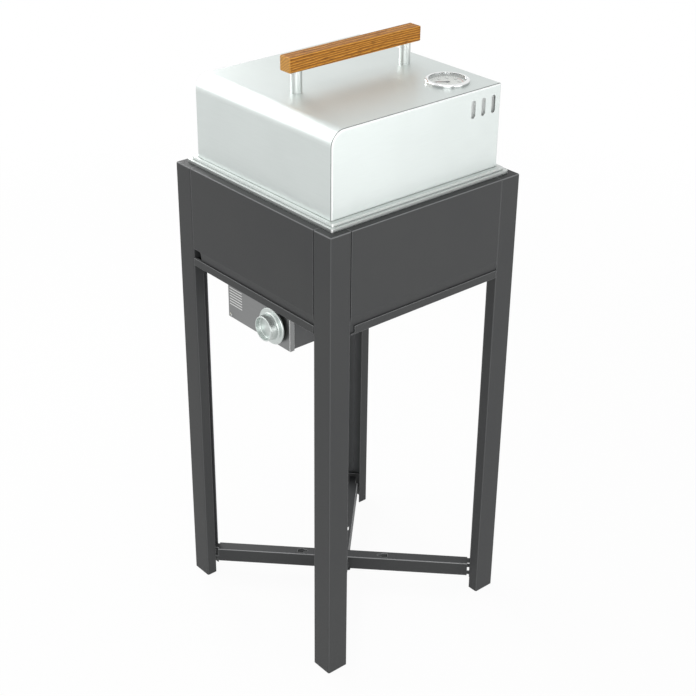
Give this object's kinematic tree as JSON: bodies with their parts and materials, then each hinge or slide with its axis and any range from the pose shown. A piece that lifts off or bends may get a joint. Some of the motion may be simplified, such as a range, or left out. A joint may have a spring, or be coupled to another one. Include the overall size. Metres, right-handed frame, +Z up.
{
  "type": "gas grill",
  "caption": "Compact gas grill: lift-off sheet steel hood with wooden bar handle and thermometer over a rimmed tub, on a folded steel stand with angle legs, aprons and crossed braces",
  "frame": {"origin": "on the floor, under the middle of the whole object's bounding box (its front reaches out to the knob, so this is a little in front of the middle of the four legs)", "axes": "+Z up; -Y the front with the control knob; +X to the right seen from the front"},
  "size_m": [0.42, 0.4314, 1.0945],
  "materials": {
    "powder_coat": "fine textured satin powder coat",
    "hood_sheet": "satin brushed, lightly polished edges",
    "rim_sheet": "satin",
    "tub_enamel": "heat-proof black enamel, semi-gloss",
    "wood": "oiled, light brown hardwood with fine straight grain",
    "post_steel": "polished",
    "knob_finish": "satin plated",
    "panel_sheet": "satin grey",
    "zinc": "zinc plated, satin",
    "grate_rod": "polished rod",
    "burner_steel": "heat-dulled",
    "valve_brass": "machined",
    "pipe_alu": "drawn tube, satin",
    "tray_alu": "mill finish",
    "ceramic": "glazed",
    "dial": "white matt print",
    "pointer_paint": "black to dark red, satin",
    "gauge_glass": "clear",
    "bezel": "polished"
  },
  "bodies": {
    "stand": {"leg_front_left": "powder_coat", "leg_front_right": "powder_coat", "leg_back_right": "powder_coat", "leg_back_left": "powder_coat", "apron_front": "powder_coat", "apron_right": "powder_coat", "apron_back": "powder_coat", "apron_left": "powder_coat", "base_pan": "powder_coat", "apron_screws": "zinc", "brace_bar_a": "powder_coat", "brace_bar_b": "powder_coat", "brace_cleats": "powder_coat", "brace_plate": "powder_coat", "brace_screws": "zinc", "grill_rim": "rim_sheet", "firebox": "tub_enamel", "cooking_grate": "grate_rod", "flame_tamer": "burner_steel", "tamer_brackets": "burner_steel", "burner_tube": "burner_steel", "burner_bracket": "burner_steel", "jet_cup": "burner_steel", "gas_jet": "valve_brass", "gas_pipe": "pipe_alu", "igniter_electrode": "ceramic", "drip_tray": "tray_alu", "control_box": "powder_coat", "control_panel": "panel_sheet", "panel_screw": "zinc", "box_screws": "zinc", "gas_valve": "valve_brass", "valve_screws": "zinc", "gas_inlet": "valve_brass"},
    "hood": {"hood_shell": "hood_sheet", "hood_side_left": "hood_sheet", "hood_side_right": "hood_sheet", "handle_posts": "post_steel", "handle_bar": "wood", "handle_screws": "zinc", "thermometer_case": "bezel", "thermometer_dial": "dial", "thermometer_glass": "gauge_glass", "thermometer_nut": "zinc"},
    "pointer": {"thermometer_pointer": "pointer_paint"},
    "plug": {"valve_plug": "valve_brass"},
    "knob": {"knob": "knob_finish", "valve_stem": "zinc"}
  },
  "joints": [
    {"name": "hood_lift", "type": "slide", "parent": "stand", "child": "hood", "axis": [0, 0, 1], "range_m": [0, 0.3]},
    {"name": "pointer_turn", "type": "hinge", "parent": "hood", "child": "pointer", "pos_m": [0.118, 0.12375, 1.0302], "axis": [0, 0, -1], "range_deg": [0, 270], "stiffness_Nm_per_rad": 0.0002},
    {"name": "valve_turn", "type": "hinge", "parent": "stand", "child": "plug", "pos_m": [0.047, -0.17425, 0.651], "axis": [0, -1, 0], "range_deg": [0, 210]},
    {"name": "knob_push", "type": "slide", "parent": "plug", "child": "knob", "axis": [0, 1, 0], "range_m": [0, 0.003], "stiffness_N_per_m": 900, "springref_m": -0.002}
  ]
}
